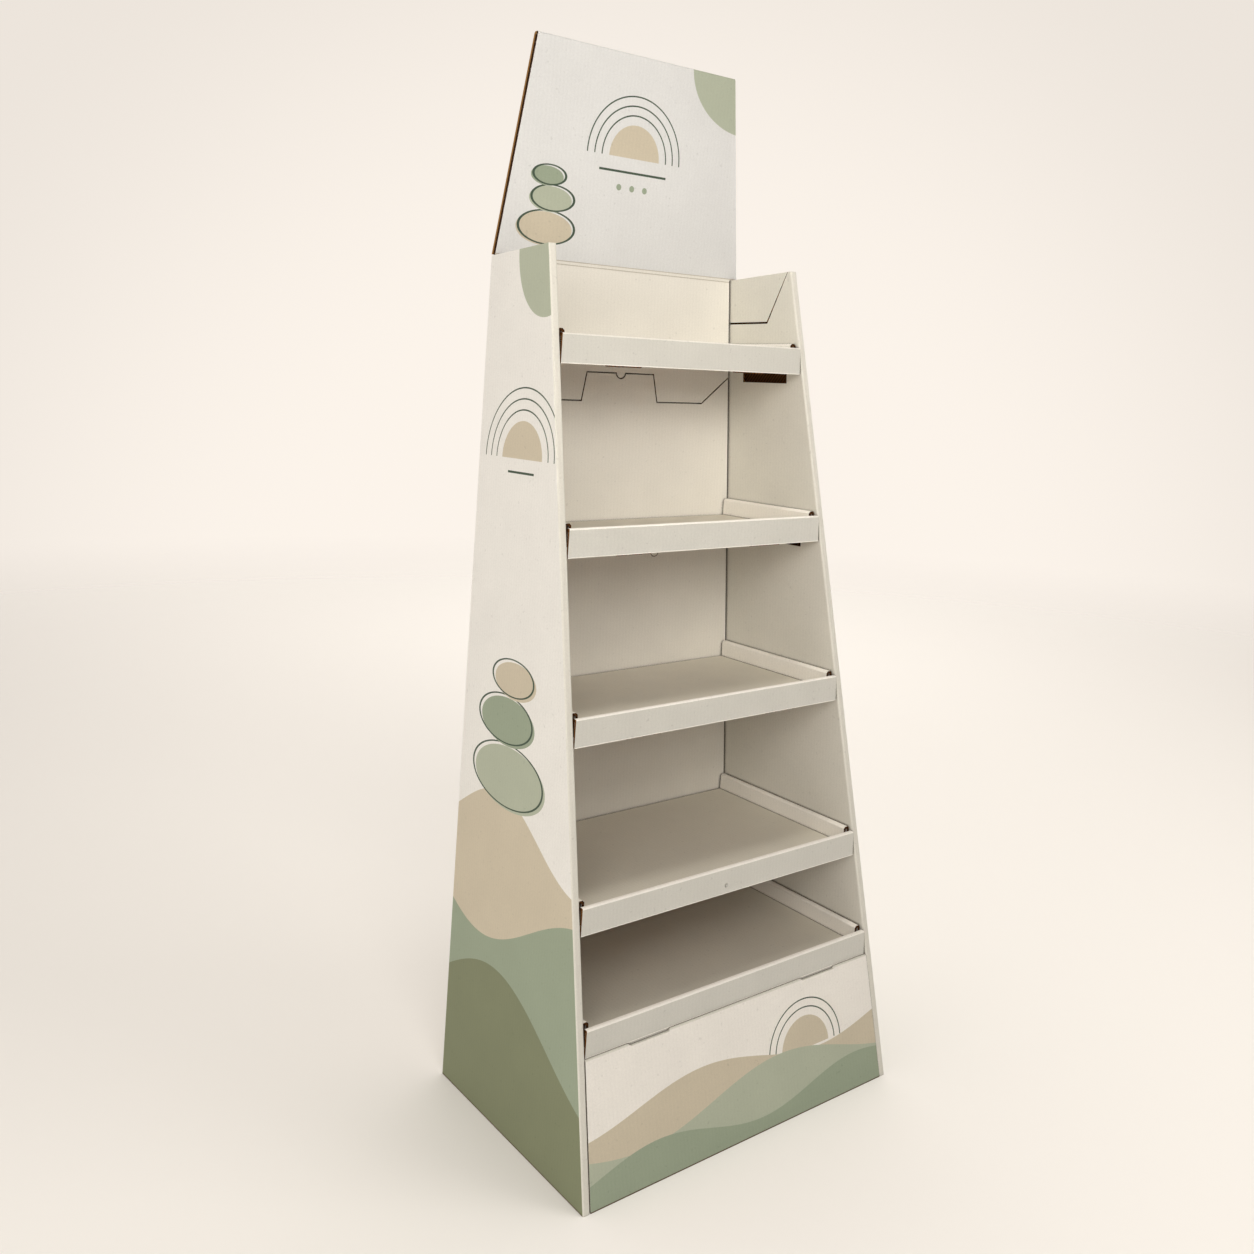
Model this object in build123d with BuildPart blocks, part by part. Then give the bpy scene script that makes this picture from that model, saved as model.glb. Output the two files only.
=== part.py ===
"""Corrugated board display stand: folded body, back liner, header card, five shelf trays and a plinth front.

Millimetres, +Z up. The origin is the middle of the footprint on the floor. The front faces -Y.
"""

import os

from math import cos, radians, sin, tan

from build123d import *

os.makedirs("parts", exist_ok=True)

# Board
BOARD = 4.0
FOLD_RADIUS = 3.0
SLIT = 1.2

# Body
BASE_WIDTH = 600.0
BASE_DEPTH = 400.0
SIDE_TAPER = 0.057
FRONT_SLOPE = 0.196
SIDE_TOP_FRONT = 1271.0
SIDE_TOP_BACK = 1263.0
WALL_CAVITY = 4.0
WALL = 2 * BOARD + WALL_CAVITY
BACK_FACE = BASE_DEPTH / 2
BACK_INNER = BACK_FACE - BOARD

# Back liner, glued to the back panel between the inner side walls
BACK_LINER = 7.0
LINER_FACE = BACK_INNER - BACK_LINER
LINER_SIDE_GAP = 3.0
INNER_WALL_GAP = 1.0
INNER_WALL_END = BACK_INNER - INNER_WALL_GAP

# Header card, folded double at its top edge
HEADER_GAP = 2.0
HEADER_THICK = 2 * BOARD + HEADER_GAP
HEADER_CREASE = 1258.0
HEADER_RISE = 302.0
HEADER_TOP = HEADER_CREASE + HEADER_RISE
HEADER_TOP_WIDTH = 360.0
HEADER_LEAN = 5.2
SHOULDER_GAP = 0.3
FOOT_SLIT = 2.0
HEADER_FOOT = 1109.0
HEADER_TAB_FOOT = 1066.0
HEADER_TAB_INNER = 65.0
HEADER_TAB_INNER_FOOT = 74.0
HEADER_TAB_OUTER_FOOT = 166.0
TONGUE_RADIUS = 8.0
CREASE_WIDTH = 1.2
CREASE_DEPTH = 0.6
CREASE_PITCH = 5.0

# Top flaps of the sides
TOP_FLAP_FRONT = 8.0
TOP_FLAP_FOOT = 1197.0
TOP_FLAP_SETBACK = 65.4
TOP_FLAP_SLOT = 3.0

# Trays
TRAY_1_LEVEL = 1116.0
TRAY_2_LEVEL = 861.0
TRAY_3_LEVEL = 612.0
TRAY_4_LEVEL = 364.0
TRAY_5_LEVEL = 203.0
TRAY_LEVELS = (TRAY_1_LEVEL, TRAY_2_LEVEL, TRAY_3_LEVEL, TRAY_4_LEVEL, TRAY_5_LEVEL)
TRAY_BACK_GAP = 3.0
TRAY_END = LINER_FACE - TRAY_BACK_GAP
LIP_HEIGHT = 40.0
LIP_SETBACK = 3.5
LIP_GAP = 1.0
LIP_END_GAP = 2.5
FLOOR_RISE = 15.0
FLANGE_TOP = 46.0
FLANGE_GAP = 3.0
FLANGE_START = 3.0
FOLD_GAP = 0.5
TRAY_CLEAR = 1.0
TAB_WIDTH = 64.0
TAB_DEPTH = 1.5
TAB_SETBACK = 2.5
TAB_PLACE = 0.52

# Ledge flaps under the trays
LEDGE_SHARE = 0.62
LEDGE_REACH = 25.0

# Thumb slit in the back liner
THUMB_X = 81.0
THUMB_Z = 832.0
THUMB_RADIUS = 8.0

# Plinth front
PLINTH_TRAY_GAP = 0.5
PLINTH_TOP = TRAY_5_LEVEL - PLINTH_TRAY_GAP
PLINTH_CLEAR = 0.5
PLINTH_RETURN = 60.0
PLINTH_FLAP = 60.0
RECESS_DEPTH = 3.0
RECESS_WIDTH = 74.0
RECESS_PLACE = 0.6

FAR = 1000.0


def half_width(z):
    """Half of the outer width at a height."""
    return BASE_WIDTH / 2 - SIDE_TAPER * z


def front_y(z):
    """Place of the sloped front at a height."""
    return -BASE_DEPTH / 2 + FRONT_SLOPE * z


def side_top(y):
    """Height of the side's top edge, a little lower at the back."""
    front = front_y(SIDE_TOP_FRONT)
    return SIDE_TOP_BACK + (SIDE_TOP_FRONT - SIDE_TOP_BACK) * (BACK_FACE - y) / (BACK_FACE - front)


def leaning_strip(side, z_low, z_high, inset_out, inset_in):
    """Corners of a strip that follows the leaning side wall, seen from the front."""
    return [
        (side * (half_width(z_low) - inset_out), z_low),
        (side * (half_width(z_high) - inset_out), z_high),
        (side * (half_width(z_high) - inset_in), z_high),
        (side * (half_width(z_low) - inset_in), z_low),
    ]


def wall_prism(side, z_low, z_high, inset_out, inset_in, outline):
    """Leaning slab of a side wall, kept only inside an outline seen from the side."""
    with BuildPart() as slab:
        with BuildSketch(Plane.XZ.offset(-FAR)):
            with BuildLine():
                Polyline(*leaning_strip(side, z_low, z_high, inset_out, inset_in), close=True)
            make_face()
        extrude(amount=2 * FAR)
        with BuildSketch(Plane.YZ.offset(-FAR)):
            with BuildLine():
                Polyline(*outline, close=True)
            make_face()
        extrude(amount=2 * FAR, mode=Mode.INTERSECT)
    return slab.part


def liner_half(z):
    """Half of the width that the back liner and the header card's foot take between the inner walls."""
    return half_width(z) - WALL - LINER_SIDE_GAP


def ledge_span(level):
    """Front and rear ends of the ledge flap under a tray."""
    start = front_y(level) + LIP_SETBACK
    middle = (start + TRAY_END) / 2
    reach = LEDGE_SHARE * (TRAY_END - start) / 2
    return middle - reach, middle + reach


def hanging_tab(place, height, width, drop):
    """Corners of a shallow tab with slanted ends that hangs from a height, seen from the front."""
    return [
        (place - width / 2, height + BOARD),
        (place + width / 2, height + BOARD),
        (place + width / 2, height),
        (place + width / 2 - drop, height - drop),
        (place - width / 2 + drop, height - drop),
        (place - width / 2, height),
    ]


side_outline = [
    (front_y(0), 0),
    (front_y(SIDE_TOP_FRONT), SIDE_TOP_FRONT),
    (BACK_FACE, SIDE_TOP_BACK),
    (BACK_FACE, 0),
]
flap_front = front_y(SIDE_TOP_FRONT) + TOP_FLAP_FRONT
flap_corner = front_y(TOP_FLAP_FOOT) + TOP_FLAP_SETBACK
cavity_outline = [
    (front_y(-BOARD) + BOARD, -BOARD),
    (front_y(SIDE_TOP_FRONT + BOARD) + BOARD, SIDE_TOP_FRONT + BOARD),
    (flap_front, SIDE_TOP_FRONT + BOARD),
    (flap_front, side_top(flap_front) - BOARD),
    (INNER_WALL_END, side_top(INNER_WALL_END) - BOARD),
    (INNER_WALL_END, SIDE_TOP_FRONT + BOARD),
    (FAR, SIDE_TOP_FRONT + BOARD),
    (FAR, -BOARD),
]
rear_outline = [
    (INNER_WALL_END, -BOARD),
    (INNER_WALL_END, SIDE_TOP_FRONT + BOARD),
    (FAR, SIDE_TOP_FRONT + BOARD),
    (FAR, -BOARD),
]
flap_cut_outline = [
    (INNER_WALL_END + BOARD, TOP_FLAP_FOOT - TOP_FLAP_SLOT),
    (flap_corner, TOP_FLAP_FOOT - TOP_FLAP_SLOT),
    (flap_front - BOARD, SIDE_TOP_FRONT + BOARD),
    (flap_front - BOARD + SLIT, SIDE_TOP_FRONT + BOARD),
    (flap_corner + SLIT, TOP_FLAP_FOOT),
    (INNER_WALL_END + BOARD, TOP_FLAP_FOOT),
]

# Sides of the body: a leaning block with rounded front folds, hollowed to two plies
side_parts = []
for side in (-1, 1):
    block = wall_prism(side, 0, SIDE_TOP_FRONT + BOARD, 0, WALL, side_outline)
    cavity = wall_prism(side, -BOARD, SIDE_TOP_FRONT + BOARD, BOARD, BOARD + WALL_CAVITY, cavity_outline)
    rear = wall_prism(side, -BOARD, SIDE_TOP_FRONT + BOARD, BOARD, WALL + BOARD, rear_outline)
    flap_cut = wall_prism(side, TOP_FLAP_FOOT - BOARD, SIDE_TOP_FRONT + BOARD,
                          BOARD + WALL_CAVITY, WALL + BOARD, flap_cut_outline)
    with BuildPart() as side_part:
        add(block)
        front_folds = side_part.edges().filter_by(lambda edge: edge.length > SIDE_TOP_BACK)
        fillet(front_folds.sort_by(Axis.Y)[:2], FOLD_RADIUS)
        add(cavity, mode=Mode.SUBTRACT)
        add(rear, mode=Mode.SUBTRACT)
        add(flap_cut, mode=Mode.SUBTRACT)
        for level in TRAY_LEVELS:
            near, far = ledge_span(level)
            ledge_top = level + FLOOR_RISE
            face_x = half_width(ledge_top) - WALL
            window_middle = ((near + far) / 2, ledge_top - BOARD - LEDGE_REACH / 2)
            with BuildSketch(Plane.YZ.offset(side * (face_x - BOARD / 2))):
                with Locations(window_middle):
                    Rectangle(far - near, LEDGE_REACH)
            extrude(amount=side * (BOARD + BOARD + WALL_CAVITY / 2), mode=Mode.SUBTRACT)
            with BuildSketch(Plane.XY.offset(ledge_top - BOARD)):
                with Locations((side * (face_x + BOARD / 2 - LEDGE_REACH / 2), (near + far) / 2)):
                    Rectangle(LEDGE_REACH + BOARD, far - near)
            extrude(amount=BOARD)
    side_parts.append(side_part.part)

# Body: both sides joined by the back panel
with BuildPart() as body:
    for side_solid in side_parts:
        add(side_solid)
    with BuildSketch(Plane.XZ.offset(-BACK_FACE)):
        with BuildLine():
            Polyline(
                (-half_width(0), 0),
                (half_width(0), 0),
                (half_width(SIDE_TOP_BACK), SIDE_TOP_BACK),
                (-half_width(SIDE_TOP_BACK), SIDE_TOP_BACK),
                close=True,
            )
        make_face()
    extrude(amount=BOARD)
    back_folds = body.edges().filter_by(lambda edge: edge.length > SIDE_TOP_BACK - BOARD)
    fillet(back_folds.filter_by_position(Axis.Y, BACK_FACE - SLIT, BACK_FACE + SLIT), FOLD_RADIUS)
body.part.label = "body"
export_step(body.part, "parts/body.step")

# Foot of the header card: upright, with two tabs and a round tongue, up to the shoulders on the side walls
shoulder_height = side_top(LINER_FACE) + SHOULDER_GAP
with BuildSketch() as header_foot:
    with BuildLine():
        Polyline(
            (0, shoulder_height),
            (liner_half(shoulder_height), shoulder_height),
            (liner_half(HEADER_FOOT), HEADER_FOOT),
            (HEADER_TAB_OUTER_FOOT, HEADER_TAB_FOOT),
            (HEADER_TAB_INNER_FOOT, HEADER_TAB_FOOT),
            (HEADER_TAB_INNER, HEADER_FOOT),
            (0, HEADER_FOOT),
            close=True,
        )
    make_face()
    mirror(about=Plane.YZ)
    with Locations((0, HEADER_FOOT)):
        Circle(TONGUE_RADIUS)

# Back liner: a flat sheet, its top edge cut round the header card's foot
with BuildPart() as back_liner:
    with BuildSketch(Plane.XZ.offset(-BACK_INNER)):
        with BuildLine():
            Polyline(
                (-liner_half(0), 0),
                (liner_half(0), 0),
                (liner_half(HEADER_FOOT), HEADER_FOOT),
                (-liner_half(HEADER_FOOT), HEADER_FOOT),
                close=True,
            )
        make_face()
        offset(header_foot.sketch, amount=FOOT_SLIT, kind=Kind.INTERSECTION, mode=Mode.SUBTRACT)
    extrude(amount=BACK_LINER)
    with BuildSketch(Plane.XZ.offset(-BACK_INNER)):
        with Locations((THUMB_X, THUMB_Z)):
            SlotCenterToCenter(2 * THUMB_RADIUS, 2 * THUMB_RADIUS + SLIT, rotation=90)
            SlotCenterToCenter(2 * THUMB_RADIUS, 2 * THUMB_RADIUS - SLIT, rotation=90, mode=Mode.SUBTRACT)
            Rectangle(4 * THUMB_RADIUS, 4 * THUMB_RADIUS, align=(Align.CENTER, Align.MIN), mode=Mode.SUBTRACT)
    extrude(amount=BACK_LINER, mode=Mode.SUBTRACT)
back_liner.part.label = "back_liner"
export_step(back_liner.part, "parts/back_liner.step")

# Header card: one sheet, upright at its foot, bent forward at the crease and folded double at the top
lean = radians(HEADER_LEAN)
header_length = HEADER_RISE / cos(lean)
shoulder_along = (shoulder_height - HEADER_CREASE) / cos(lean)


def lean_point(along, depth):
    """Point of the leaning card, seen from the side: along its face from the crease, and back into it."""
    return (
        LINER_FACE - along * sin(lean) + depth * cos(lean),
        HEADER_CREASE + along * cos(lean) + depth * sin(lean),
    )


def header_half(z):
    """Half of the card's width above the side walls, narrower towards the top."""
    shoulder_half = half_width(SIDE_TOP_BACK)
    share = (z - shoulder_height) / (HEADER_TOP - shoulder_height)
    return shoulder_half + (HEADER_TOP_WIDTH / 2 - shoulder_half) * share


header_cap = HEADER_TOP + HEADER_THICK
with BuildPart() as header_card:
    with BuildSketch(Plane.YZ.offset(-FAR)) as header_section:
        with BuildLine():
            Polyline(
                (LINER_FACE, HEADER_TAB_FOOT - BOARD),
                (LINER_FACE, HEADER_CREASE),
                lean_point(header_length, 0),
                lean_point(header_length, HEADER_THICK),
                lean_point(shoulder_along, HEADER_THICK),
                lean_point(shoulder_along, HEADER_THICK - BOARD),
                lean_point(header_length - BOARD, HEADER_THICK - BOARD),
                lean_point(header_length - BOARD, BOARD),
                (LINER_FACE + BOARD, HEADER_CREASE + BOARD * tan(lean / 2)),
                (LINER_FACE + BOARD, HEADER_TAB_FOOT - BOARD),
                close=True,
            )
        make_face()
        fillet(header_section.vertices().sort_by(Axis.Y)[-2:], FOLD_RADIUS)
    extrude(amount=2 * FAR)
    with BuildSketch(Plane.XZ.offset(-FAR)):
        add(header_foot.sketch)
        with BuildLine():
            Polyline(
                (-header_half(shoulder_height), shoulder_height),
                (header_half(shoulder_height), shoulder_height),
                (header_half(header_cap), header_cap),
                (-header_half(header_cap), header_cap),
                close=True,
            )
        make_face()
    extrude(amount=2 * FAR, mode=Mode.INTERSECT)
    crease_plane = Plane(
        origin=(0, LINER_FACE, HEADER_CREASE),
        x_dir=(1, 0, 0),
        z_dir=(0, -cos(lean), -sin(lean)),
    )
    for line in (-1, 1):
        with BuildSketch(crease_plane):
            with Locations((0, CREASE_PITCH + line * CREASE_PITCH / 2)):
                Rectangle(BASE_WIDTH, CREASE_WIDTH)
        extrude(amount=-CREASE_DEPTH, mode=Mode.SUBTRACT)
header_card.part.label = "header_card"
export_step(header_card.part, "parts/header_card.step")


def make_tray(level, in_plinth):
    """One shelf tray: floor, roll-over front lip with two locking tabs, double side flanges.

    The tabs stand back behind the lip's face, but those of the bottom tray fill the plinth's recesses.
    """
    lip_face = front_y(level) + LIP_SETBACK
    lip_depth = 2 * BOARD + LIP_GAP
    lip_top = level + LIP_HEIGHT
    floor_foot = level + FLOOR_RISE
    flange_top = level + FLANGE_TOP
    floor_half = half_width(flange_top) - WALL - TRAY_CLEAR
    flange_wide = 2 * BOARD + FLANGE_GAP
    flange_front = lip_face + lip_depth + FLANGE_START
    floor_front = lip_face + BOARD + LIP_GAP
    tab_share = RECESS_PLACE if in_plinth else TAB_PLACE
    tab_width = RECESS_WIDTH - 2 * PLINTH_CLEAR if in_plinth else TAB_WIDTH
    tab_drop = RECESS_DEPTH if in_plinth else TAB_DEPTH
    tab_setback = 0 if in_plinth else TAB_SETBACK
    with BuildPart() as tray:
        with BuildSketch(Plane.XZ.offset(-lip_face)):
            with BuildLine():
                Polyline(
                    (-half_width(level) + WALL + LIP_END_GAP, level),
                    (half_width(level) - WALL - LIP_END_GAP, level),
                    (half_width(lip_top) - WALL - LIP_END_GAP, lip_top),
                    (-half_width(lip_top) + WALL + LIP_END_GAP, lip_top),
                    close=True,
                )
            make_face()
        extrude(amount=-lip_depth)
        fillet(tray.edges().filter_by(Axis.X).group_by(Axis.Z)[-1], FOLD_RADIUS)
        with BuildSketch(Plane.YZ.offset(-FAR)):
            with BuildLine():
                Polyline(
                    (lip_face + BOARD, level - BOARD),
                    (lip_face + BOARD, lip_top - BOARD),
                    (floor_front, lip_top - BOARD),
                    (floor_front, floor_foot),
                    (lip_face + 2 * lip_depth, floor_foot),
                    (lip_face + 2 * lip_depth, level - BOARD),
                    close=True,
                )
            make_face()
        extrude(amount=2 * FAR, mode=Mode.SUBTRACT)
        with BuildSketch(Plane.XY.offset(floor_foot)):
            with Locations((0, (floor_front + TRAY_END) / 2)):
                Rectangle(2 * floor_half, TRAY_END - floor_front)
        extrude(amount=BOARD)
        for side in (-1, 1):
            with BuildSketch(Plane.XZ.offset(-flange_front)):
                with BuildLine():
                    outer = side * floor_half
                    inner = side * (floor_half - flange_wide)
                    ply = side * BOARD
                    fold_outer = (outer - side * FOLD_RADIUS, flange_top)
                    fold_inner = (inner + side * FOLD_RADIUS, flange_top)
                    Polyline(
                        fold_inner,
                        fold_outer,
                        (outer, flange_top - FOLD_RADIUS),
                        (outer, floor_foot),
                        (outer - ply, floor_foot),
                        (outer - ply, flange_top - BOARD),
                        (inner + ply, flange_top - BOARD),
                        (inner + ply, floor_foot + BOARD + FOLD_GAP),
                        (inner, floor_foot + BOARD + FOLD_GAP),
                        (inner, flange_top - FOLD_RADIUS),
                        close=True,
                    )
                make_face()
            extrude(amount=flange_front - TRAY_END)
            tab_x = side * tab_share * (half_width(level) - WALL)
            with BuildSketch(Plane.XZ.offset(-lip_face - tab_setback)):
                with BuildLine():
                    Polyline(*hanging_tab(tab_x, level, tab_width, tab_drop), close=True)
                make_face()
            extrude(amount=tab_setback - BOARD)
    return tray.part


for number, level in enumerate(TRAY_LEVELS, start=1):
    tray_part = make_tray(level, level == TRAY_5_LEVEL)
    tray_part.label = f"tray_{number}"
    export_step(tray_part, f"parts/tray_{number}.step")

# Plinth front: sloped panel between the side bands, top return and side glue flaps
plinth_foot_half = half_width(0) - WALL - PLINTH_CLEAR
plinth_top_half = half_width(PLINTH_TOP) - WALL - PLINTH_CLEAR
return_end = front_y(PLINTH_TOP) + PLINTH_RETURN
with BuildPart() as plinth_front:
    with BuildSketch(Plane.XZ.offset(-FAR)):
        with BuildLine():
            Polyline(
                (-plinth_foot_half, 0),
                (plinth_foot_half, 0),
                (plinth_top_half, PLINTH_TOP),
                (-plinth_top_half, PLINTH_TOP),
                close=True,
            )
        make_face()
    extrude(amount=2 * FAR)
    with BuildSketch(Plane.YZ.offset(-FAR)):
        with BuildLine():
            Polyline(
                (front_y(0), 0),
                (front_y(PLINTH_TOP), PLINTH_TOP),
                (return_end, PLINTH_TOP),
                (return_end, PLINTH_TOP - BOARD),
                (front_y(PLINTH_TOP - BOARD) + BOARD, PLINTH_TOP - BOARD),
                (front_y(0) + BOARD, 0),
                close=True,
            )
        make_face()
    extrude(amount=2 * FAR, mode=Mode.INTERSECT)
    fillet(plinth_front.edges().filter_by(Axis.X).sort_by(Axis.Y)[1:3].sort_by(Axis.Z)[-1], FOLD_RADIUS)
    for side in (-1, 1):
        flap = wall_prism(side, 0, PLINTH_TOP - 2 * BOARD, WALL + PLINTH_CLEAR, WALL + PLINTH_CLEAR + BOARD, [
            (front_y(0), 0),
            (front_y(PLINTH_TOP - 2 * BOARD), PLINTH_TOP - 2 * BOARD),
            (front_y(PLINTH_TOP - 2 * BOARD) + PLINTH_FLAP, PLINTH_TOP - 2 * BOARD),
            (front_y(0) + PLINTH_FLAP, 0),
        ])
        add(flap)
        with BuildSketch(Plane.XZ.offset(-front_y(PLINTH_TOP) - 2 * BOARD)):
            with BuildLine():
                recess_x = side * RECESS_PLACE * (half_width(TRAY_5_LEVEL) - WALL)
                Polyline(*hanging_tab(recess_x, PLINTH_TOP, RECESS_WIDTH, RECESS_DEPTH), close=True)
            make_face()
        extrude(amount=4 * BOARD, mode=Mode.SUBTRACT)
plinth_front.part.label = "plinth_front"
export_step(plinth_front.part, "parts/plinth_front.step")
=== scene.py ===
"""Looks of the cardboard display stand: lined board, bare cut edges, printed hills, floor and light.

Metres, in the frame of the solids: +Z up, the open front faces -Y.
"""

import math

import bpy
import numpy as np
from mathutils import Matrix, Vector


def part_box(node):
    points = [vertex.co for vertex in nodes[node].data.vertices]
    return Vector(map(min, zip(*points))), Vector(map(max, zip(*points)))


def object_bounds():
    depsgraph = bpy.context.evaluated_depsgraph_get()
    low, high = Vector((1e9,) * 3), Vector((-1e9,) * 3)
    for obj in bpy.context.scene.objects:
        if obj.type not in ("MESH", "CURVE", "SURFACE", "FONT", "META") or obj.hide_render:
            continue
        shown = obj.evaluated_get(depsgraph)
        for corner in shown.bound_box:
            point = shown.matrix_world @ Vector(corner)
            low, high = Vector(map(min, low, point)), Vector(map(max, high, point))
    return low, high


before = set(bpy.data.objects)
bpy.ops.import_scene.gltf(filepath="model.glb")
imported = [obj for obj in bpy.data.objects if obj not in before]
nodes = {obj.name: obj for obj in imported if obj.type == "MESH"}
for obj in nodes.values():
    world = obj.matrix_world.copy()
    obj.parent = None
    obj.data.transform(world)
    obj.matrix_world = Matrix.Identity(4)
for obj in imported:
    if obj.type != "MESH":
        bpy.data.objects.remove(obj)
cad_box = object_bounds()

# Sizes of the stand that the finishes follow, the foot's own from the frame
MM = 0.001
HALF_BASE = cad_box[1][0]
FRONT_FOOT = cad_box[0][1]
BACK_FACE = cad_box[1][1]
SIDE_TAPER = 0.057
FRONT_SLOPE = 0.196
BOARD = 4 * MM
WALL = 12 * MM
LINER = 7 * MM
LINER_FACE = BACK_FACE - BOARD - LINER
LIP_DEPTH = 9 * MM
FOLD_RADIUS = 3 * MM
HEADER_CREASE = 1.258
HEADER_LEAN = math.radians(5.2)
HEADER_THICK = 10 * MM
CREASE_DEPTH = 0.6 * MM
CREASE_REACH = 10 * MM

# Room for rounding when a face is told by its place
NEAR = 0.3 * MM

# How far the lower edge of each lip hangs below its fold line, from the top tray down
TAB_DROPS = (1.5 * MM, 1.5 * MM, 1.5 * MM, 1.5 * MM, 3.0 * MM)

# The one dent, in the fourth lip: its centre and its radius
LIP_DENT = ((-6.1 * MM, -125.2 * MM, 376.5 * MM), 4 * MM)

# Parts of a unit normal: above FACING a face looks along that axis, below TURNED it looks elsewhere; the last
# two are the least upward part on the trays' rounded folds and on the header card's folded top
FACING = 0.9
TURNED = 0.5
FOLD_FACING = 0.4
CAP_FACING = 0.3

# Camera, from the photograph's vanishing lines
CAMERA_AZIMUTH = math.radians(-37.083)
CAMERA_ELEVATION = math.radians(11.791)
CAMERA_ROLL = math.radians(2.152)
CAMERA_DISTANCE = 1.6706
CAMERA_TARGET = np.array([-0.1125, 0.0, 0.7512])
FOCAL_PIXELS = 1165.24
FRAME_PIXELS = 1254
SENSOR = 36.0

# Colours, sRGB
PRINT_WHITE = "#EFEEEA"
HEADER_WHITE = "#E2E3E3"
PLINTH_WHITE = "#F4F1EB"
BOARD_WHITE = "#E5E3DA"
LINER_WHITE = "#EFECE4"
# Of these, the tray white is painted warm shade, the flange white painted light, the fold white a painted
# highlight and the crease white crushed fibre with painted shade
TRAY_SHADE_WHITE = "#DFDBCE"
LIP_WHITE = "#D6D5CE"
FLANGE_LIT_WHITE = "#FAF7F0"
FOLD_HIGHLIGHT = "#FBF8F1"
CREASE_SHADED_WHITE = "#CFC9BC"
CORNER_SHADE = "#4B3D2B"
KRAFT_PALE = "#97703F"
KRAFT_BROWN = "#7E5226"
KRAFT_DEEP = "#523317"
FLUTE_SHADE = "#2C1706"
DEEP_SAGE = "#83896D"
MID_SAGE = "#9CA893"
PALE_SAGE = "#B5BCA9"
SAND = "#CFC5B0"
PINE = "#48584A"
FLOOR_CREAM = "#EEEDEB"
AIR_CREAM = "#F1E9E0"
LAMP_CREAM = "#FFF9F1"

# Flutes: their spacing, and the length over which they wander and by how many radians
FLUTE_PITCH = 6.5 * MM
FLUTE_SWAY = 250 * MM
FLUTE_DRIFT = 5.0

# Grain of the paper. Its fibres are finer than a pixel, so they are drawn coarse enough to show
CLOUD = 70 * MM
SPECK = 6.5 * MM
FIBRE = 2.2 * MM
KRAFT_FIBRE = 1.5 * MM
CUT_FIBRE = 1.8 * MM

# How far from a fold or a seam the painted shade reaches
SEAM_REACH = 5 * MM

# Spans of each noise that are put to use, and the shares of the colour that they give, from dark to pale
NOISE_SPAN = (0.3, 0.7)
CLOUD_TONE = (0.97, 1.015)
FIBRE_TONE = (0.955, 1.025)
CUT_TONE = (0.75, 1.1)
SPECK_SPAN = (0.22, 0.30)
SPECK_TONE = (0.9, 1.0)
FLUTE_TONE = (0.988, 1.006)

# Openness, from 0 to 1, at which the painted shade in a seam is darkest and at which it ends
SEAM_SPAN = (0.22, 0.8)

# Kraft: how far the pulp breaks up the bars of the flutes, and the span of both from pale to dark
KRAFT_MOTTLE = 0.8
KRAFT_SPAN = (0.2, 1.2)

# Share of the depth of a cut by which the fibres fray its layers
CUT_FRAY = 0.10

# Relief of each grain, as a bump's strength and height
FLUTE_RELIEF = {"Strength": 0.2, "Distance": 0.06 * MM}
FIBRE_RELIEF = {"Strength": 0.5, "Distance": 0.05 * MM}
DENT_RELIEF = {"Strength": 1.0, "Distance": 4 * MM}
KRAFT_RELIEF = {"Strength": 0.6, "Distance": 0.3 * MM}
CUT_RELIEF = {"Strength": 0.5, "Distance": 0.3 * MM}

# Roughness and specular level: offset-printed liner, bare kraft, matt floor paper
LINER_ROUGH = (0.62, 0.78)
LINER_GLOSS = 0.3
KRAFT_ROUGH = 0.9
KRAFT_GLOSS = 0.15
FLOOR_ROUGH = 0.95
FLOOR_GLOSS = 0.1

# Layers of the board seen at a cut: depth behind the face in millimetres at which each ends, and its tone
LIP_LAYERS = ((0.9, BOARD_WHITE), (4.0, KRAFT_BROWN), (5.0, FLUTE_SHADE), (9.0, KRAFT_DEEP))
HEADER_LAYERS = ((1.5, KRAFT_DEEP), (4.0, FLUTE_SHADE), (10.0, KRAFT_PALE))

# Print, in millimetres: widths of its lines and rules, of the painted highlight along the lips' folds and of
# the scuffed, painted-shadow line at the foot, and the size of each pebble over the one below
PRINT_LINE = 2.0
PRINT_RULE = 3.2
FOLD_LINE = 1.2
FOOT_LINE = 1.5
CAIRN_TAPER = 0.76

# Floor: a disc with a small hole under the stand, solid to FLOOR_SOLID and gone at FLOOR_GONE of its reach
FLOOR_REACH = 7.5
FLOOR_SOLID = 1.4
FLOOR_GONE = 0.9
FLOOR_DROP = 0.1 * MM
FLOOR_HOLE = 0.01
FLOOR_RINGS = 24
FLOOR_TURNS = 96
RING_CROWDING = 1.6

# Air: its light in front and behind, the Y of the direction at which one gives way to the other, and the glow
AIR_FRONT = 0.14
AIR_BACK = 0.96
AIR_TURN = (-0.6, 0.35)
AIR_GLOW = 0.15
GLOW_SPAN = (math.cos(math.radians(36)), math.cos(math.radians(14)))


def linear(code):
    """An sRGB hex colour as a linear RGBA tuple."""
    channels = [int(code[i:i + 2], 16) / 255 for i in (1, 3, 5)]
    bent = [c / 12.92 if c <= 0.04045 else ((c + 0.055) / 1.055) ** 2.4 for c in channels]
    return (*bent, 1.0)


def add(tree, kind, inputs=(), **settings):
    """Adds one shader node with its settings.

    The inputs are values or other nodes' sockets, listed in the order of the node's own sockets, or given by
    socket in a dictionary.
    """
    made = tree.nodes.new(kind)
    for name, value in settings.items():
        setattr(made, name, value)
    pairs = inputs.items() if isinstance(inputs, dict) else enumerate(inputs)
    for key, value in pairs:
        if isinstance(value, bpy.types.NodeSocket):
            tree.links.new(value, made.inputs[key])
        else:
            made.inputs[key].default_value = value
    return made


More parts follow.
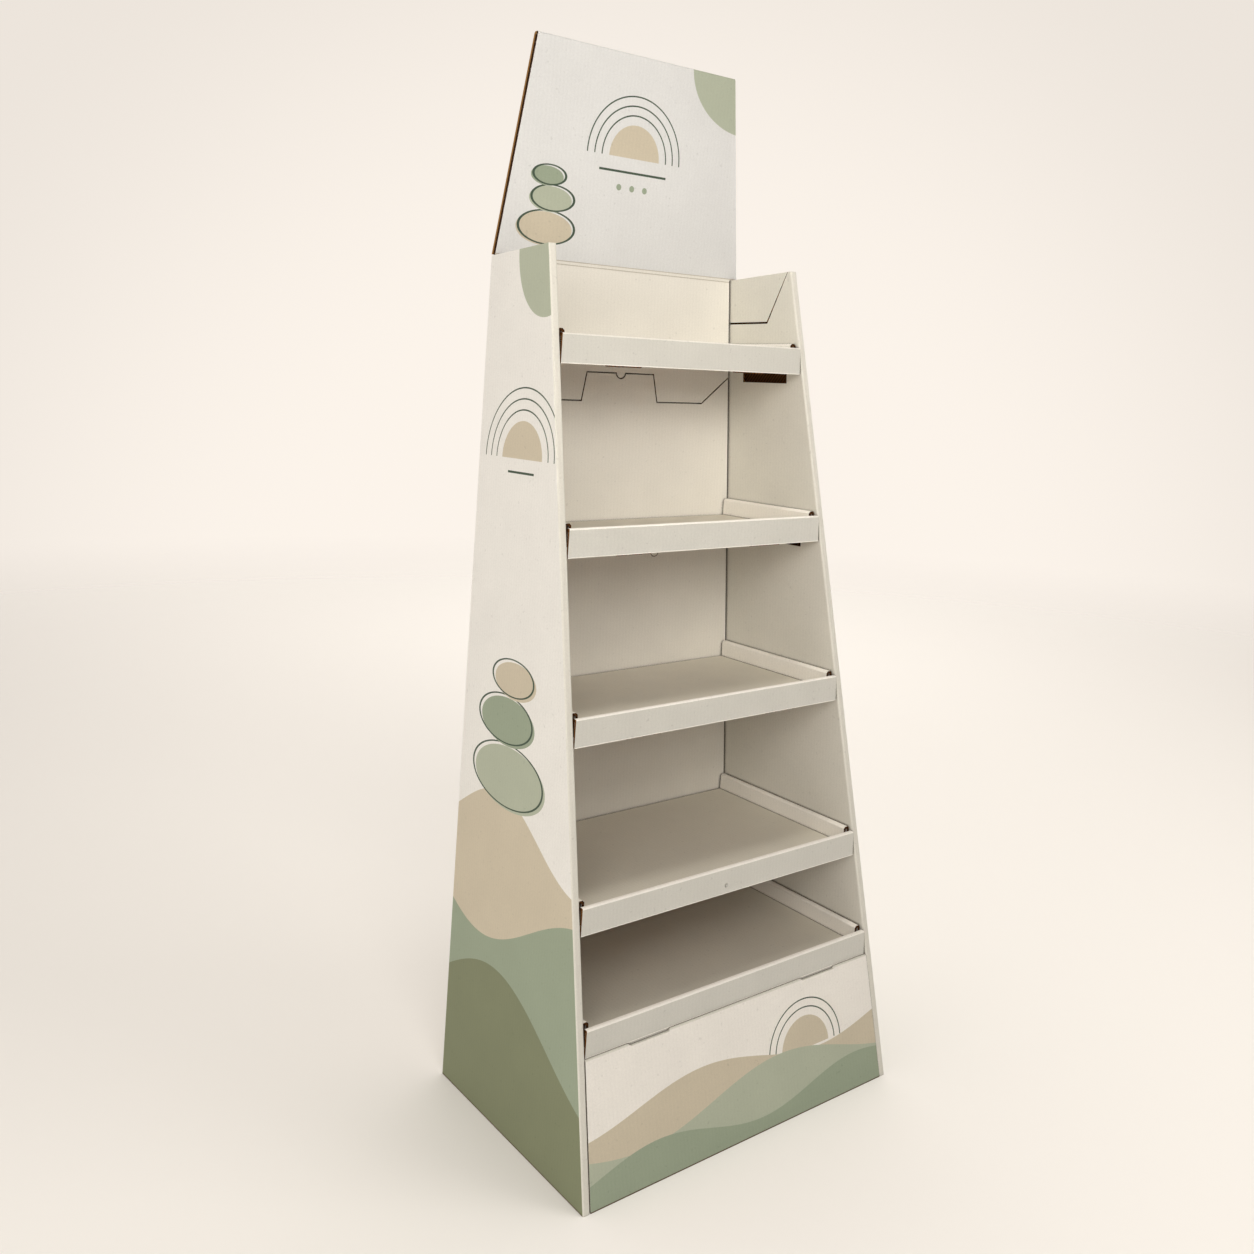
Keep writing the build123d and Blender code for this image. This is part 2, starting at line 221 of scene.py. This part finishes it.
def new_material(name):
    """An empty node material with its shader and its Object coordinates."""
    material = bpy.data.materials.new(name)
    material.use_nodes = True
    tree = material.node_tree
    tree.nodes.clear()
    shader = add(tree, "ShaderNodeBsdfPrincipled")
    add(tree, "ShaderNodeOutputMaterial", {"Surface": shader.outputs["BSDF"]})
    place = add(tree, "ShaderNodeTexCoord").outputs["Object"]
    return material, tree, shader, place


# Printed shapes. Each returns a function that adds its mask to a tree, on a plane in millimetres

def hill(level, rise, length, start):
    """A rolling hill: all below the line level + rise * sin(2 pi u / length + start)."""
    def mask(tree, plane):
        axes = add(tree, "ShaderNodeSeparateXYZ", [plane])
        turn = add(tree, "ShaderNodeMath", [axes.outputs[0], 2 * math.pi / length, start],
                   operation="MULTIPLY_ADD")
        wave = add(tree, "ShaderNodeMath", [turn.outputs[0]], operation="SINE")
        line = add(tree, "ShaderNodeMath", [wave.outputs[0], rise, level], operation="MULTIPLY_ADD")
        below = add(tree, "ShaderNodeMath", [line.outputs[0], axes.outputs[1]], operation="GREATER_THAN")
        return below.outputs[0]
    return mask


def pebble(centre, radii):
    """A filled ellipse: the points whose distance from the centre, over the radii, is under 1."""
    def mask(tree, plane):
        placed = add(tree, "ShaderNodeMapping", {0: plane, 1: (*centre, 0), 3: (*radii, 1)},
                     vector_type="TEXTURE")
        reach = add(tree, "ShaderNodeVectorMath", [placed.outputs[0]], operation="LENGTH")
        inside = add(tree, "ShaderNodeMath", [reach.outputs["Value"], 1.0], operation="LESS_THAN")
        return inside.outputs[0]
    return mask


def outline(centre, radii):
    """A thin elliptic line: the points whose distance from the centre, over the radii, is near 1."""
    half_line = PRINT_LINE / (2 * min(radii))

    def mask(tree, plane):
        placed = add(tree, "ShaderNodeMapping", {0: plane, 1: (*centre, 0), 3: (*radii, 1)},
                     vector_type="TEXTURE")
        reach = add(tree, "ShaderNodeVectorMath", [placed.outputs[0]], operation="LENGTH")
        on_line = add(tree, "ShaderNodeMath", [reach.outputs["Value"], 1.0, half_line], operation="COMPARE")
        return on_line.outputs[0]
    return mask


def upper_half(shape, level):
    """The part of another shape that lies above a level."""
    def mask(tree, plane):
        axes = add(tree, "ShaderNodeSeparateXYZ", [plane])
        above = add(tree, "ShaderNodeMath", [axes.outputs[1], level], operation="GREATER_THAN")
        kept = add(tree, "ShaderNodeMath", [shape(tree, plane), above.outputs[0]], operation="MULTIPLY")
        return kept.outputs[0]
    return mask


def rule(centre, half_size):
    """A straight rule: the points whose larger distance from the centre, over the half sizes, is under 1."""
    def mask(tree, plane):
        placed = add(tree, "ShaderNodeMapping", {0: plane, 1: (*centre, 0), 3: (*half_size, 1)},
                     vector_type="TEXTURE")
        reach = add(tree, "ShaderNodeVectorMath", [placed.outputs[0]], operation="ABSOLUTE")
        axes = add(tree, "ShaderNodeSeparateXYZ", [reach.outputs[0]])
        larger = add(tree, "ShaderNodeMath", [axes.outputs[0], axes.outputs[1]], operation="MAXIMUM")
        inside = add(tree, "ShaderNodeMath", [larger.outputs[0], 1.0], operation="LESS_THAN")
        return inside.outputs[0]
    return mask


def sunrise(centre, radius, step, rings):
    """A half disc with thin half rings round it, one step apart."""
    shapes = [(SAND, upper_half(pebble(centre, (radius, radius)), centre[1]))]
    for ring in range(1, rings + 1):
        reach = radius + ring * step
        shapes.append((PINE, upper_half(outline(centre, (reach, reach)), centre[1])))
    return shapes


def cairn(foot, width, height, inks, shift):
    """A pile of pebbles, each narrower than the one below, with a thin line a little beside each fill."""
    shapes = []
    u, v = foot
    for course, ink in enumerate(inks):
        shrink = CAIRN_TAPER ** course
        radii = (width * shrink / 2, height * shrink / 2)
        v += radii[1]
        sway = shift * (1 if course % 2 else -1)
        shapes.append((ink, pebble((u + sway, v), radii)))
        shapes.append((PINE, outline((u + sway + shift, v + shift / 2), radii)))
        v += radii[1]
    return shapes


def flute_wave(tree, place):
    """Upright flutes: sin(2 pi run / pitch + drift), run being X or Y, whichever lies along the face."""
    axes = add(tree, "ShaderNodeSeparateXYZ", [place])
    facing = add(tree, "ShaderNodeNewGeometry").outputs["Normal"]
    normal = add(tree, "ShaderNodeSeparateXYZ", [facing])
    turned = add(tree, "ShaderNodeMath", [normal.outputs["X"]], operation="ABSOLUTE").outputs[0]
    run = add(tree, "ShaderNodeMix", {0: turned, 2: axes.outputs["X"], 3: axes.outputs["Y"]}).outputs[0]
    sway = add(tree, "ShaderNodeTexNoise", {"Vector": place, "Scale": 1 / FLUTE_SWAY, "Detail": 2.0})
    phase = add(tree, "ShaderNodeMath", [run, 2 * math.pi / FLUTE_PITCH], operation="MULTIPLY")
    drift = add(tree, "ShaderNodeMath", [sway.outputs[0], FLUTE_DRIFT, phase.outputs[0]],
                operation="MULTIPLY_ADD")
    return add(tree, "ShaderNodeMath", [drift.outputs[0]], operation="SINE").outputs[0]


def printed_colour(tree, place, across, white, motifs):
    """The white sheet with each motif's ink laid over it, on the plane of Z and one axis across."""
    axes = add(tree, "ShaderNodeSeparateXYZ", [place])
    flat = add(tree, "ShaderNodeCombineXYZ", [axes.outputs[across], axes.outputs["Z"]]).outputs[0]
    plane = add(tree, "ShaderNodeVectorMath", {0: flat, "Scale": 1 / MM}, operation="SCALE").outputs[0]
    colour = linear(white)
    for ink, shape in motifs:
        inked = {0: shape(tree, plane), 6: colour, 7: linear(ink)}
        colour = add(tree, "ShaderNodeMix", inked, data_type="RGBA").outputs[2]
    return colour


def board_material(name, white, motifs=(), across=0, seams=True, dents=()):
    """White-lined corrugated board, offset printed and dull: a slightly mottled, toothy sheet.

    The flutes under the liner show through as faint upright streaks and the ink lies flat in the fibres. With
    seams on, folds, seams and corners get painted shade: an ambient occlusion node mixes in a dark brown
    where little open space is near. A dent, given by its centre and radius, is a round hollow pressed into
    the face.
    """
    material, tree, shader, place = new_material(name)
    cloud = add(tree, "ShaderNodeTexNoise", {"Vector": place, "Scale": 1 / CLOUD, "Detail": 4.0}).outputs[0]
    fibre = add(tree, "ShaderNodeTexNoise", {"Vector": place, "Scale": 1 / FIBRE, "Detail": 3.0}).outputs[0]
    speck = add(tree, "ShaderNodeTexNoise", {"Vector": place, "Scale": 1 / SPECK, "Detail": 1.0}).outputs[0]
    flute = flute_wave(tree, place)

    tone = add(tree, "ShaderNodeMapRange", [cloud, *NOISE_SPAN, *CLOUD_TONE]).outputs[0]
    tooth = add(tree, "ShaderNodeMapRange", [fibre, *NOISE_SPAN, *FIBRE_TONE]).outputs[0]
    fleck = add(tree, "ShaderNodeMapRange", [speck, *SPECK_SPAN, *SPECK_TONE]).outputs[0]
    streak = add(tree, "ShaderNodeMapRange", [flute, -1.0, 1.0, *FLUTE_TONE]).outputs[0]
    for part in (tooth, fleck, streak):
        tone = add(tree, "ShaderNodeMath", [tone, part], operation="MULTIPLY").outputs[0]
    sheet = printed_colour(tree, place, across, white, motifs) if motifs else linear(white)[:3]
    face = add(tree, "ShaderNodeVectorMath", {0: sheet, "Scale": tone}, operation="SCALE").outputs[0]
    # Painted shade: near folds, seams and corners an ambient occlusion node darkens the face towards
    # CORNER_SHADE
    if seams:
        open_air = add(tree, "ShaderNodeAmbientOcclusion", {"Distance": SEAM_REACH}, samples=4).outputs["AO"]
        unshaded = add(tree, "ShaderNodeMapRange", [open_air, *SEAM_SPAN]).outputs[0]
        shaded = add(tree, "ShaderNodeMix", {0: unshaded, 6: linear(CORNER_SHADE), 7: face}, data_type="RGBA")
        face = shaded.outputs[2]
    tree.links.new(face, shader.inputs["Base Color"])

    rough = add(tree, "ShaderNodeMapRange", [fibre, *NOISE_SPAN, *LINER_ROUGH]).outputs[0]
    tree.links.new(rough, shader.inputs["Roughness"])
    shader.inputs["Specular IOR Level"].default_value = LINER_GLOSS
    wave = add(tree, "ShaderNodeBump", {**FLUTE_RELIEF, "Height": flute}).outputs[0]
    bump = add(tree, "ShaderNodeBump", {**FIBRE_RELIEF, "Height": fibre, "Normal": wave}).outputs[0]
    for centre, radius in dents:
        away = add(tree, "ShaderNodeVectorMath", [place, centre], operation="DISTANCE").outputs["Value"]
        hollow = add(tree, "ShaderNodeMapRange", [away, 0.0, radius], interpolation_type="SMOOTHSTEP")
        pressed = {**DENT_RELIEF, "Height": hollow.outputs[0], "Normal": bump}
        bump = add(tree, "ShaderNodeBump", pressed).outputs[0]
    tree.links.new(bump, shader.inputs["Normal"])
    return material


def kraft_material(name, dark, pale):
    """Bare brown kraft paper, as pulped: long fibres, no gloss, with open flutes as dark bars along a cut."""
    material, tree, shader, place = new_material(name)
    pulp = add(tree, "ShaderNodeTexNoise", {"Vector": place, "Scale": 1 / KRAFT_FIBRE, "Detail": 3.0})
    along = add(tree, "ShaderNodeVectorMath", [place, (1, 1, 1)], operation="DOT_PRODUCT").outputs["Value"]
    phase = add(tree, "ShaderNodeMath", [along, 2 * math.pi / FLUTE_PITCH], operation="MULTIPLY").outputs[0]
    flute = add(tree, "ShaderNodeMath", [phase], operation="SINE").outputs[0]
    depth = add(tree, "ShaderNodeMath", [pulp.outputs[0], KRAFT_MOTTLE, flute],
                operation="MULTIPLY_ADD").outputs[0]
    mask = add(tree, "ShaderNodeMapRange", [depth, *KRAFT_SPAN]).outputs[0]
    colour = add(tree, "ShaderNodeMix", {0: mask, 6: linear(pale), 7: linear(dark)}, data_type="RGBA")
    tree.links.new(colour.outputs[2], shader.inputs["Base Color"])
    shader.inputs["Roughness"].default_value = KRAFT_ROUGH
    shader.inputs["Specular IOR Level"].default_value = KRAFT_GLOSS
    bump = add(tree, "ShaderNodeBump", {**KRAFT_RELIEF, "Height": depth})
    tree.links.new(bump.outputs[0], shader.inputs["Normal"])
    return material


def cut_material(name, inward, face, layers):
    """A knife-cut side of layered board, bare and dull: each layer has its own tone.

    The depth of a layer is the distance along the inward direction past the face, and a fibre noise frays it.
    """
    material, tree, shader, place = new_material(name)
    pulp = add(tree, "ShaderNodeTexNoise", {"Vector": place, "Scale": 1 / CUT_FIBRE, "Detail": 3.0})
    grain = pulp.outputs[0]
    reach = add(tree, "ShaderNodeVectorMath", [place, inward], operation="DOT_PRODUCT").outputs["Value"]
    thick = layers[-1][0] * MM
    share = add(tree, "ShaderNodeMapRange", [reach, face, face + thick]).outputs[0]
    frayed = add(tree, "ShaderNodeMath", [grain, CUT_FRAY, share], operation="MULTIPLY_ADD").outputs[0]
    level = add(tree, "ShaderNodeMath", [frayed, CUT_FRAY / 2], operation="SUBTRACT").outputs[0]
    tones = add(tree, "ShaderNodeValToRGB", [level])
    stops = tones.color_ramp.elements
    tones.color_ramp.interpolation = "CONSTANT"
    ready = len(stops)
    start = 0.0
    for number, (end, tone) in enumerate(layers):
        stop = stops[number] if number < ready else stops.new(start)
        stop.position = start
        stop.color = linear(tone)
        start = end * MM / thick
    dull = add(tree, "ShaderNodeMapRange", [grain, *NOISE_SPAN, *CUT_TONE]).outputs[0]
    worn = add(tree, "ShaderNodeVectorMath", {0: tones.outputs[0], "Scale": dull}, operation="SCALE")
    tree.links.new(worn.outputs[0], shader.inputs["Base Color"])
    shader.inputs["Roughness"].default_value = KRAFT_ROUGH
    shader.inputs["Specular IOR Level"].default_value = KRAFT_GLOSS
    bump = add(tree, "ShaderNodeBump", {**CUT_RELIEF, "Height": grain})
    tree.links.new(bump.outputs[0], shader.inputs["Normal"])
    return material


# Brown line along the lower edge of the printed faces: partly liner scuffed by the floor, partly painted
# contact shadow where the faces meet the floor
foot_scuff_and_shadow = (KRAFT_DEEP, rule((0, 0), (HALF_BASE / MM, FOOT_LINE)))

# Print on the side walls: three ranges of hills, a cairn and a rising sun, across Y and Z
side_print = [
    (PALE_SAGE, pebble((49, 1271), (74, 96))),
    *sunrise((82, 985), radius=52, step=15, rings=3),
    (PINE, rule((82, 966), (34, PRINT_RULE / 2))),
    (SAND, hill(level=462, rise=46, length=430, start=0.4)),
    *cairn((66, 486), width=190, height=92, inks=(PALE_SAGE, MID_SAGE, SAND), shift=7),
    (MID_SAGE, hill(level=330, rise=52, length=540, start=3.4)),
    (DEEP_SAGE, hill(level=178, rise=62, length=610, start=0.9)),
    foot_scuff_and_shadow,
]
# Print on the header card: a rising sun on a rule, with a cairn at one side, across X and Z
header_print = [
    *sunrise((0, 1420), radius=46, step=13, rings=3),
    (PINE, rule((0, 1400), (62, PRINT_RULE / 2))),
    *[(MID_SAGE, pebble((u, 1378), (4.5, 4.5))) for u in (-24, 0, 24)],
    *cairn((-146, 1284), width=96, height=46, inks=(SAND, PALE_SAGE, MID_SAGE), shift=4),
    (PALE_SAGE, pebble((206, 1566), (110, 86))),
]
# Print on the plinth front: a sun behind three ranges of hills, across X and Z
plinth_print = [
    *sunrise((128, 96), radius=50, step=13, rings=2),
    (SAND, hill(level=112, rise=20, length=470, start=2.6)),
    (PALE_SAGE, hill(level=78, rise=26, length=530, start=0.7)),
    (MID_SAGE, hill(level=40, rise=18, length=400, start=4.2)),
    foot_scuff_and_shadow,
]

# Painted highlights: pale lines along the lips, where the lower edge of each is folded
lip_fold_highlights = []
for number, drop in enumerate(TAB_DROPS, 1):
    foot = (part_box(f"tray_{number}")[0][2] + drop) / MM
    lip_fold_highlights.append((FOLD_HIGHLIGHT, rule((0, foot + FOLD_LINE / 2), (HALF_BASE / MM, FOLD_LINE / 2))))

# Board: a warmer, darker white on the trays as painted warm shade, a greyer one on the lips, a whiter one on
# the flanges as painted light, painted highlights along the folds, and a darker crease from crushed fibre and
# painted shade
plain_board = board_material("white_lined_board", BOARD_WHITE)
liner_board = board_material("white_liner_board", LINER_WHITE)
tray_board = board_material("tray_board_painted_warm_shade", TRAY_SHADE_WHITE)
lip_board = board_material("greyer_lip_board", LIP_WHITE, lip_fold_highlights, dents=[LIP_DENT])
flange_board = board_material("flange_board_painted_light", FLANGE_LIT_WHITE)
fold_highlight_board = board_material("fold_painted_highlight_board", FOLD_HIGHLIGHT, seams=False)
side_board = board_material("printed_side_board", PRINT_WHITE, side_print, across=1)
header_board = board_material("printed_header_board", HEADER_WHITE, header_print)
plinth_board = board_material("printed_plinth_board", PLINTH_WHITE, plinth_print)
# Crease grooves: a darker white, partly crushed fibre and partly painted shade, without the ambient occlusion
# shade
crease_board = board_material("crease_crushed_and_shaded_board", CREASE_SHADED_WHITE, seams=False)

# Kraft: dark open flutes at the cut edges, paler brown underneath; deep brown inside the walls, in slits,
# between the header's plies and at the flange ends, its own brown darkened by painted shade
raw_edge = kraft_material("raw_flute_edge", FLUTE_SHADE, KRAFT_BROWN)
kraft = kraft_material("kraft_underside", KRAFT_BROWN, KRAFT_PALE)
shaded_kraft = kraft_material("kraft_painted_shade", FLUTE_SHADE, KRAFT_DEEP)


def half_width(z):
    """Half of the stand's outer width at each height."""
    return HALF_BASE - SIDE_TAPER * z


def front_y(z):
    """Place of the sloped front at each height."""
    return FRONT_FOOT + FRONT_SLOPE * z


def faces_of(node):
    """Centres and unit normals of a node's faces, as arrays."""
    polygons = node.data.polygons
    centres = np.empty(len(polygons) * 3)
    normals = np.empty(len(polygons) * 3)
    polygons.foreach_get("center", centres)
    polygons.foreach_get("normal", normals)
    return centres.reshape(-1, 3).T, normals.reshape(-1, 3).T


def dress(node, finishes):
    """Gives a node its materials: first its main finish, then others that take the faces in their masks."""
    mesh = node.data
    mesh.materials.clear()
    index = np.zeros(len(mesh.polygons), dtype=np.int32)
    for slot, (material, mask) in enumerate(finishes):
        mesh.materials.append(material)
        if mask is not None:
            index[mask] = slot
    mesh.polygons.foreach_set("material_index", index)


# Body: printed outer walls, brown cut edges, kraft with painted shade inside the double walls
(x, y, z), (nx, ny, nz) = faces_of(nodes["body"])
inset = half_width(z) - np.abs(x)
outer_face = (np.abs(nx) > FACING) & (inset < NEAR)
in_cavity = (np.abs(nx) > FACING) & (inset > BOARD - NEAR) & (inset < WALL - BOARD + NEAR)
in_inner_wall = (inset > WALL - BOARD - NEAR) & (inset < WALL + NEAR)
cut = in_inner_wall & (np.abs(nx) < TURNED) & (y > front_y(z) + BOARD + NEAR)
cut |= (inset > WALL + NEAR) & (np.abs(nz) < TURNED) & (y < BACK_FACE - BOARD - NEAR)
cut |= (nz < -FACING) & (z < NEAR)
cut |= (nz > FACING) & (y > BACK_FACE - BOARD - NEAR)
dress(nodes["body"], [
    (plain_board, None),
    (side_board, outer_face),
    (shaded_kraft, in_cavity),
    (raw_edge, cut),
])

# Back liner: brown all round its cut edge, kraft with painted shade
_, (nx, ny, nz) = faces_of(nodes["back_liner"])
dress(nodes["back_liner"], [(liner_board, None), (shaded_kraft, np.abs(ny) < FACING)])

# Trays: greyer lips, painted light on flanges, painted warm shade on floors, brown at cut ends and underneath
for number, drop in enumerate(TAB_DROPS, 1):
    tray = nodes[f"tray_{number}"]
    low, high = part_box(f"tray_{number}")
    (x, y, z), (nx, ny, nz) = faces_of(tray)
    on_top = z > high[2] - FOLD_RADIUS - NEAR
    lip = y < low[1] + LIP_DEPTH + NEAR
    lip_end = lip & (np.abs(nx) > FACING)
    underside = (nz < -FACING) & ~lip
    flange = ~lip & ((np.abs(nx) > TURNED) | on_top)
    # Painted highlight: the upward faces of the rounded folds take the whiter fold board
    fold = (nz > FOLD_FACING) & (on_top | (lip & (z > low[2] + BOARD)))
    cut = lip & (nz < -FACING) & (z < low[2] + BOARD)
    cut |= (ny > FACING) & (y > high[1] - NEAR)
    cut |= (ny < -FACING) & (y > low[1] + NEAR) & (z < low[2] + drop)
    flange_end = (ny < -FACING) & (y > low[1] + LIP_DEPTH + NEAR)
    lip_cut = cut_material(f"lip_{number}_cut", (0, 1, 0), low[1], LIP_LAYERS)
    dress(tray, [
        (tray_board, None),
        (lip_board, lip & (ny < TURNED)),
        (flange_board, flange),
        (fold_highlight_board, fold),
        (kraft, underside),
        (lip_cut, lip_end),
        (raw_edge, cut),
        (shaded_kraft, flange_end),
    ])

# Header card: printed above its crease, darker in the crease from crushed fibre and painted shade, kraft with
# painted shade at its feet and between its plies, its two plies bare at the sides
(x, y, z), (nx, ny, nz) = faces_of(nodes["header_card"])
inward = (0, math.cos(HEADER_LEAN), math.sin(HEADER_LEAN))
front_plane = LINER_FACE * inward[1] + HEADER_CREASE * inward[2]
depth = y * inward[1] + z * inward[2] - front_plane
face = ((ny < -FACING) | (nz > CAP_FACING)) & (z > HEADER_CREASE + CREASE_REACH)
crease = (np.abs(z - HEADER_CREASE) < CREASE_REACH) & (ny < -FACING) & (depth > CREASE_DEPTH / 2)
side_cut = (np.abs(nx) > TURNED) & (z > HEADER_CREASE)
foot_cut = (np.abs(nx) > TURNED) & (z <= HEADER_CREASE)
foot_cut |= (nz < -TURNED) & (z < HEADER_CREASE + BOARD)
between = (depth > BOARD - NEAR) & (depth < HEADER_THICK - BOARD + NEAR)
between &= (np.abs(nx) < TURNED) & (nz < CAP_FACING)
header_cut = cut_material("header_cut", inward, front_plane, HEADER_LAYERS)
dress(nodes["header_card"], [
    (liner_board, None),
    (header_board, face),
    (crease_board, crease),
    (shaded_kraft, between),
    (header_cut, side_cut),
    (shaded_kraft, foot_cut),
])

# Plinth front: printed face, brown foot
(x, y, z), (nx, ny, nz) = faces_of(nodes["plinth_front"])
face = (ny < -FACING) & (np.abs(y - front_y(z)) < NEAR)
cut = (nz < -FACING) & (z < NEAR)
dress(nodes["plinth_front"], [(plain_board, None), (plinth_board, face), (raw_edge, cut)])


def studio_floor():
    """A wide flat disc of matt paper that fades out far from the stand.

    Its points are (r cos t, r sin t), with the radii r closer together near the middle.
    """
    radius = np.linspace(0.0, 1.0, FLOOR_RINGS) ** RING_CROWDING * FLOOR_REACH + FLOOR_HOLE
    turn = np.linspace(0, 2 * math.pi, FLOOR_TURNS, endpoint=False)
    points = np.stack([
        np.outer(np.cos(turn), radius),
        np.outer(np.sin(turn), radius),
        np.full((FLOOR_TURNS, FLOOR_RINGS), -FLOOR_DROP),
    ], axis=-1)
    i, j = np.meshgrid(np.arange(FLOOR_TURNS), np.arange(FLOOR_RINGS - 1), indexing="ij")
    here = i * FLOOR_RINGS + j
    beside = (i + 1) % FLOOR_TURNS * FLOOR_RINGS + j
    quads = np.stack([here, here + 1, beside + 1, beside], axis=-1)
    mesh = bpy.data.meshes.new("studio_floor")
    mesh.from_pydata(points.reshape(-1, 3).tolist(), [], quads.reshape(-1, 4).tolist())
    floor = bpy.data.objects.new("studio_floor", mesh)
    bpy.context.scene.collection.objects.link(floor)
    material, tree, shader, place = new_material("matt_studio_paper")
    away = add(tree, "ShaderNodeVectorMath", [place], operation="LENGTH").outputs["Value"]
    alpha = add(tree, "ShaderNodeMapRange", [away, FLOOR_SOLID, FLOOR_REACH * FLOOR_GONE, 1.0, 0.0],
                interpolation_type="SMOOTHSTEP").outputs[0]
    tree.links.new(alpha, shader.inputs["Alpha"])
    shader.inputs["Base Color"].default_value = linear(FLOOR_CREAM)
    shader.inputs["Roughness"].default_value = FLOOR_ROUGH
    shader.inputs["Specular IOR Level"].default_value = FLOOR_GLOSS
    mesh.materials.append(material)
    return floor


def lit_group(name, members):
    """A collection of the objects that a softbox lights."""
    group = bpy.data.collections.new(name)
    for member in members:
        group.objects.link(member)
    return group


# What the softboxes light: the stand's lamps are kept off the paper, so that no long shadow falls on it
floor = studio_floor()
lit_board = lit_group("lit_board", nodes.values())
lower_trays = [nodes[f"tray_{number}"] for number in range(2, len(TAB_DROPS) + 1)]
lit_trays = lit_group("lit_trays", lower_trays)
lit_plinth = lit_group("lit_plinth", [nodes["plinth_front"]])
lit_floor = lit_group("lit_floor", [floor])


def turn_to(thing, right, up, back, place):
    """Sets an object's axes and its place, as the columns of its matrix."""
    for column, axis in enumerate((right, up, back, place)):
        for row in range(3):
            thing.matrix_world[row][column] = axis[row]


def level_axes(forward):
    """The right and up directions of a level view along a forward direction."""
    right = np.cross(forward, [0, 0, 1])
    right /= np.linalg.norm(right)
    return right, np.cross(right, forward)


def area_light(name, place, target, size, spread, power, receivers):
    """A square softbox, turned towards a target, its light narrowed by a grid to a spread in degrees."""
    lamp = bpy.data.lights.new(name, "AREA")
    lamp.size = size
    lamp.energy = power
    lamp.spread = math.radians(spread)
    lamp.color = linear(LAMP_CREAM)[:3]
    softbox = bpy.data.objects.new(name, lamp)
    bpy.context.scene.collection.objects.link(softbox)
    softbox.light_linking.receiver_collection = receivers
    forward = np.array(target) - np.array(place)
    forward /= np.linalg.norm(forward)
    turn_to(softbox, *level_axes(forward), -forward, place)


# Softboxes: place, target, size, spread in degrees, power in watts and what they light
SOFTBOXES = {
    "key_softbox": ((-1.7, -1.9, 2.3), (0, 0, 0.9), 1.6, 180, 22.5, lit_board),
    "mid_softbox": ((-0.5, -2.8, 1.8), (0, 0, 0.9), 0.6, 180, 11.0, lit_board),
    "foot_softbox": ((-1.8, -2.2, 1.4), (0, 0, 0.3), 1.4, 180, 7.0, lit_plinth),
    "grid_softbox": ((-0.4, -1.7, 2.1), (0, 0, 1.35), 0.8, 50, 1.55, lit_board),
    "side_softbox": ((-2.8, -1.5, 1.2), (0, 0, 0.7), 1.2, 180, 13.0, lit_board),
    "over_softbox": ((0.0, -0.3, 3.4), (0.0, -0.1, 0.0), 0.6, 180, 18.0, lit_trays),
    "floor_softbox": ((1.2, -1.3, 6.0), (0.2, 0.0, 0.0), 4.0, 180, 80.0, lit_floor),
    "right_softbox": ((2.3, -2.4, 3.8), (0.1, -0.4, 0.0), 2.0, 120, 17.0, lit_floor),
    "far_softbox": ((2.4, 3.2, 4.0), (2.5, 3.3, 0.0), 3.0, 100, 33.0, lit_floor),
    "front_softbox": ((-1.7, -3.2, 4.5), (-0.2, -1.0, 0.0), 2.5, 180, 110.0, lit_floor),
}
for name, settings in SOFTBOXES.items():
    area_light(name, *settings)

# Camera at the photograph's angle, rolled about its own axis
back = np.array([
    math.sin(CAMERA_AZIMUTH) * math.cos(CAMERA_ELEVATION),
    -math.cos(CAMERA_AZIMUTH) * math.cos(CAMERA_ELEVATION),
    math.sin(CAMERA_ELEVATION),
])
level_right, level_up = level_axes(-back)
right = level_right * math.cos(CAMERA_ROLL) + level_up * math.sin(CAMERA_ROLL)
up = level_up * math.cos(CAMERA_ROLL) - level_right * math.sin(CAMERA_ROLL)
lens = bpy.data.cameras.new("camera")
lens.sensor_width = SENSOR
lens.lens = FOCAL_PIXELS / FRAME_PIXELS * SENSOR
camera = bpy.data.objects.new("camera", lens)
bpy.context.scene.collection.objects.link(camera)
turn_to(camera, right, up, back, CAMERA_TARGET + CAMERA_DISTANCE * back)
bpy.context.scene.camera = camera
bpy.context.scene.view_settings.view_transform = "Standard"

# Studio air: a pale backdrop with a wide soft glow behind the stand; as a light it is dimmer in front
world = bpy.data.worlds.new("studio_air")
bpy.context.scene.world = world
world.use_nodes = True
sky = world.node_tree
aim = add(sky, "ShaderNodeTexCoord").outputs["Generated"]
depth_axis = add(sky, "ShaderNodeSeparateXYZ", [aim]).outputs["Y"]
even = add(sky, "ShaderNodeMapRange", [depth_axis, *AIR_TURN, AIR_FRONT, AIR_BACK],
           interpolation_type="SMOOTHSTEP").outputs[0]
ahead = add(sky, "ShaderNodeVectorMath", [aim, tuple(-back)], operation="DOT_PRODUCT").outputs["Value"]
glow = add(sky, "ShaderNodeMapRange", [ahead, *GLOW_SPAN, 0.0, AIR_GLOW],
           interpolation_type="SMOOTHSTEP").outputs[0]
seen = add(sky, "ShaderNodeLightPath").outputs["Is Camera Ray"]
backdrop = add(sky, "ShaderNodeMix", {0: seen, 2: even, 3: AIR_BACK}).outputs[0]
strength = add(sky, "ShaderNodeMath", [backdrop, glow], operation="ADD").outputs[0]
sky.nodes["Background"].inputs["Color"].default_value = linear(AIR_CREAM)
sky.links.new(strength, sky.nodes["Background"].inputs["Strength"])
